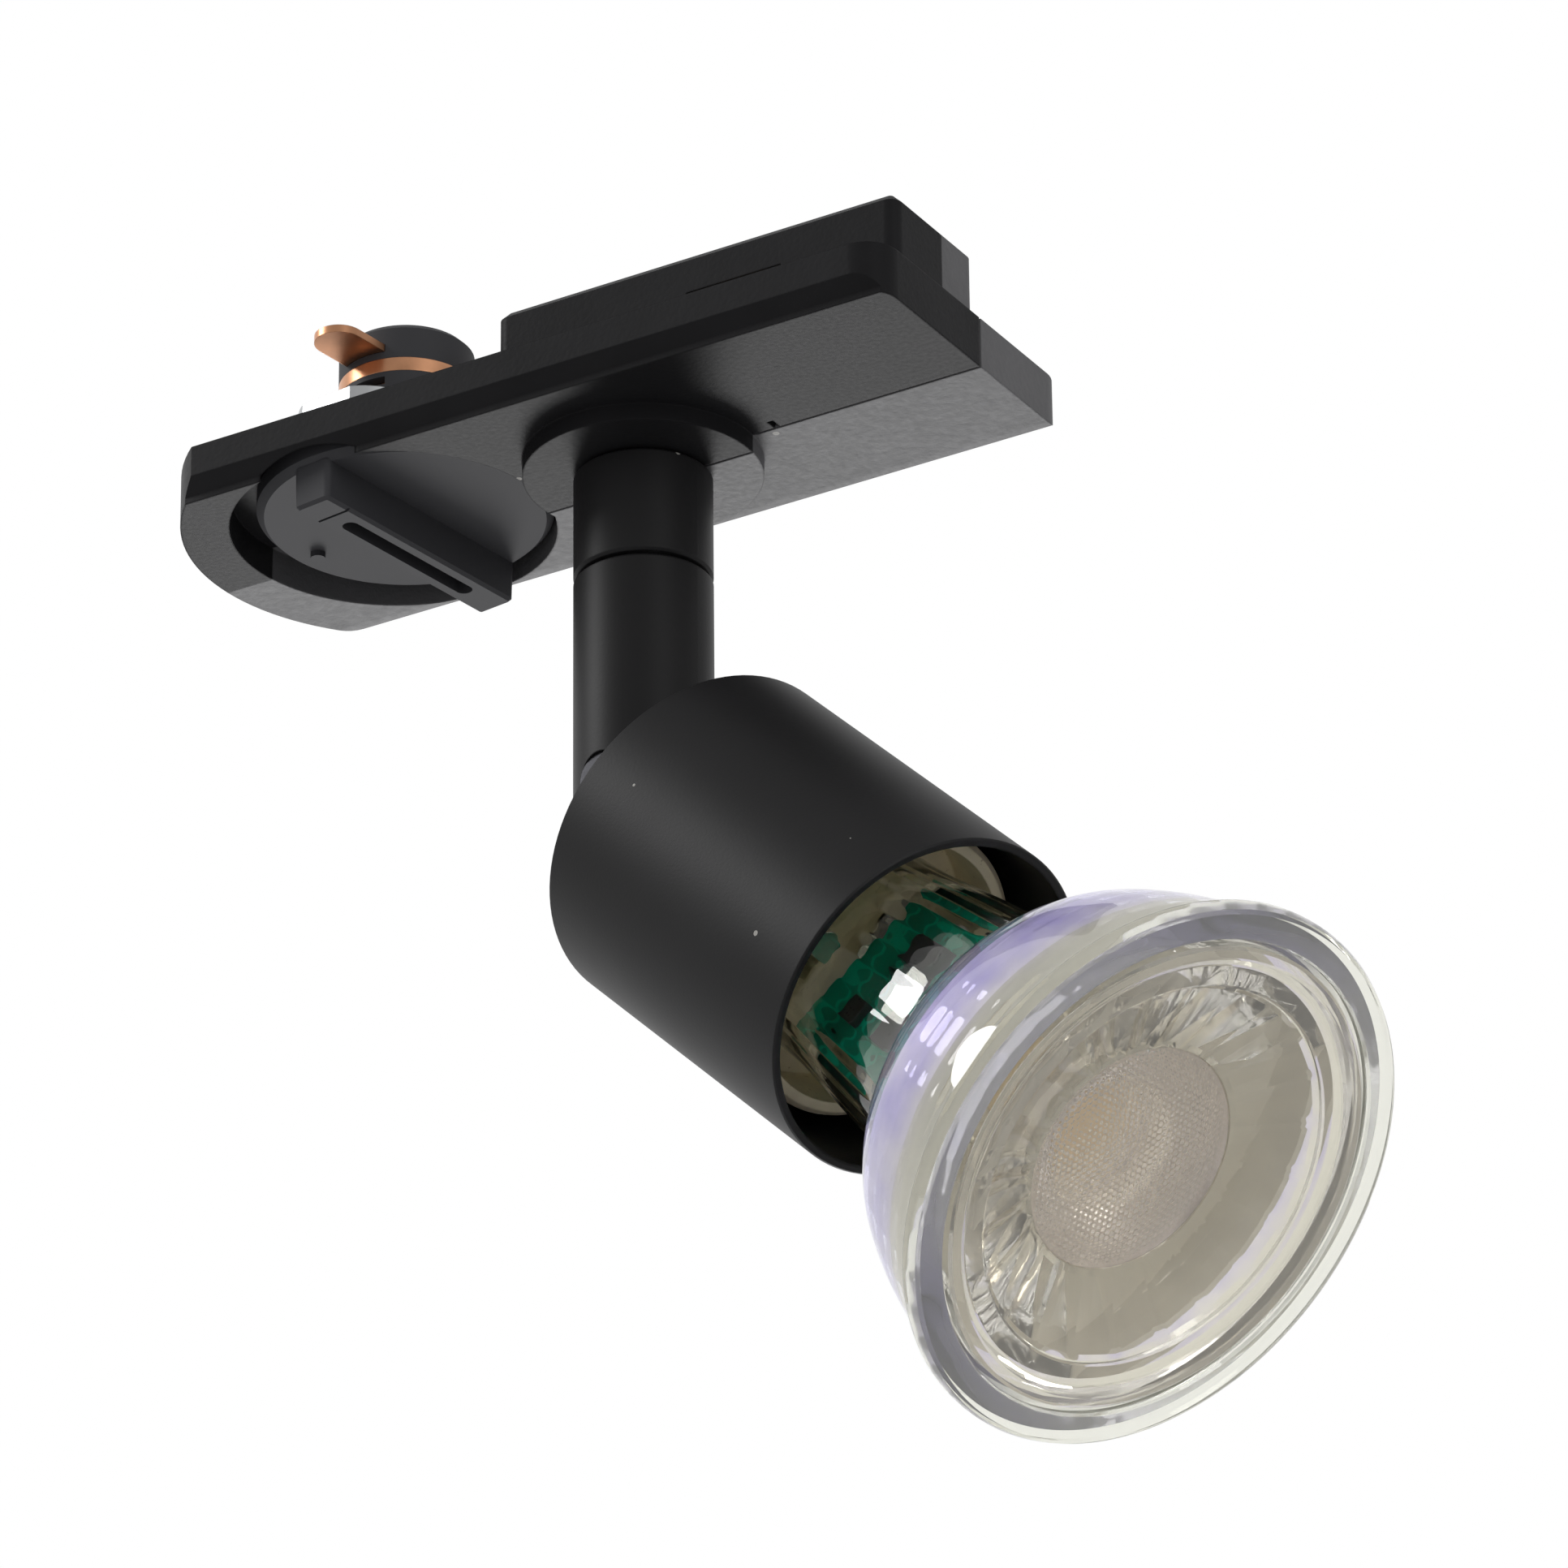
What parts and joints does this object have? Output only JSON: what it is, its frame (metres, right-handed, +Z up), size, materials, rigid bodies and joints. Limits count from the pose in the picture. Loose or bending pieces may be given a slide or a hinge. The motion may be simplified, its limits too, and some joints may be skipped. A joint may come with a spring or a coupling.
{
  "type": "track spotlight",
  "caption": "Black track spotlight: slim track adaptor with a turn-lock lever, short swivel stem and a tilting open cup that holds a clear glass reflector lamp.",
  "frame": {"origin": "on the stem's swivel axis, level with the lower face of the lighting track the adaptor sits in", "axes": "+Z up into the track; +X along the track, away from the lever end; -Y is the side the two-step edge is on"},
  "size_m": [0.1193, 0.0498, 0.1238],
  "materials": {
    "shell_plastic": "fine-grained black moulded plastic",
    "lever_plastic": "smooth satin black moulded plastic",
    "black_paint": "matt black powder coat",
    "steel": "zinc-plated steel",
    "dark_steel": "black oxide screw steel",
    "nickel": "nickel-plated brass",
    "copper": "bare contact copper",
    "bronze": "phosphor bronze spring strip",
    "nylon": "natural nylon",
    "ceramic": "unglazed cream ceramic",
    "brown_sleeve": "brown silicone sleeve",
    "blue_sleeve": "blue silicone sleeve",
    "lamp_glass": "clear pressed glass with a slight yellow cast",
    "clear_lens": "clear moulded lens plastic",
    "aluminium": "bare aluminium",
    "white_board": "white ceramic LED base",
    "phosphor": "yellow phosphor coating",
    "green_board": "green solder mask",
    "dark_component": "dark moulded component case"
  },
  "bodies": {
    "adaptor": {"adaptor_near_shell": "shell_plastic", "adaptor_far_shell": "shell_plastic", "shell_screws": "steel", "terminal_block": "nylon", "terminal_screws": "steel", "contact_wipers": "copper", "earth_spring": "bronze", "live_lead": "brown_sleeve", "neutral_lead": "blue_sleeve", "swivel_washer": "steel"},
    "lever": {"locking_lever": "lever_plastic", "lever_turret": "lever_plastic", "contact_rings": "copper", "locking_cam": "steel", "live_contact": "copper", "neutral_contact": "copper", "lever_screw": "steel"},
    "stem": {"swivel_collar": "black_paint", "threaded_nipple": "steel", "nipple_nut": "steel", "stop_washer": "steel", "stem_tube": "black_paint", "pivot_screws": "dark_steel", "friction_washers": "nylon", "stem_live_lead": "brown_sleeve", "stem_neutral_lead": "blue_sleeve"},
    "head": {"hinge_knuckle": "black_paint", "knuckle_screws": "steel", "lamp_cup": "black_paint", "holder_bracket": "steel", "holder_screws": "steel", "lampholder": "ceramic", "holder_contacts": "bronze", "head_live_lead": "brown_sleeve", "head_neutral_lead": "blue_sleeve"},
    "lamp": {"lamp_glass": "lamp_glass", "lamp_pins": "nickel", "lamp_optic": "clear_lens", "centre_lens": "clear_lens", "heat_plate": "aluminium", "led_base": "white_board", "led_emitter": "phosphor", "driver_board": "green_board", "driver_capacitor": "dark_component", "driver_transformer": "dark_component", "driver_rectifier": "dark_component", "driver_chips": "dark_component"}
  },
  "joints": [
    {"name": "lever_turn", "type": "hinge", "parent": "adaptor", "child": "lever", "pos_m": [-0.0252, -0.001, 0], "axis": [0, 0, 1], "range_deg": [-83, 0]},
    {"name": "stem_swivel", "type": "hinge", "parent": "adaptor", "child": "stem", "pos_m": [0, 0, 0], "axis": [0, 0, 1], "range_deg": [-165, 165]},
    {"name": "head_tilt", "type": "hinge", "parent": "stem", "child": "head", "pos_m": [0, 0, -0.0393], "axis": [-0.1444, -0.9895, 0], "range_deg": [-46.3, 43.7]},
    {"name": "lamp_twist", "type": "hinge", "parent": "head", "child": "lamp", "pos_m": [0, 0, -0.0393], "axis": [0.7154, -0.1044, -0.6909], "range_deg": [0, 25]}
  ]
}
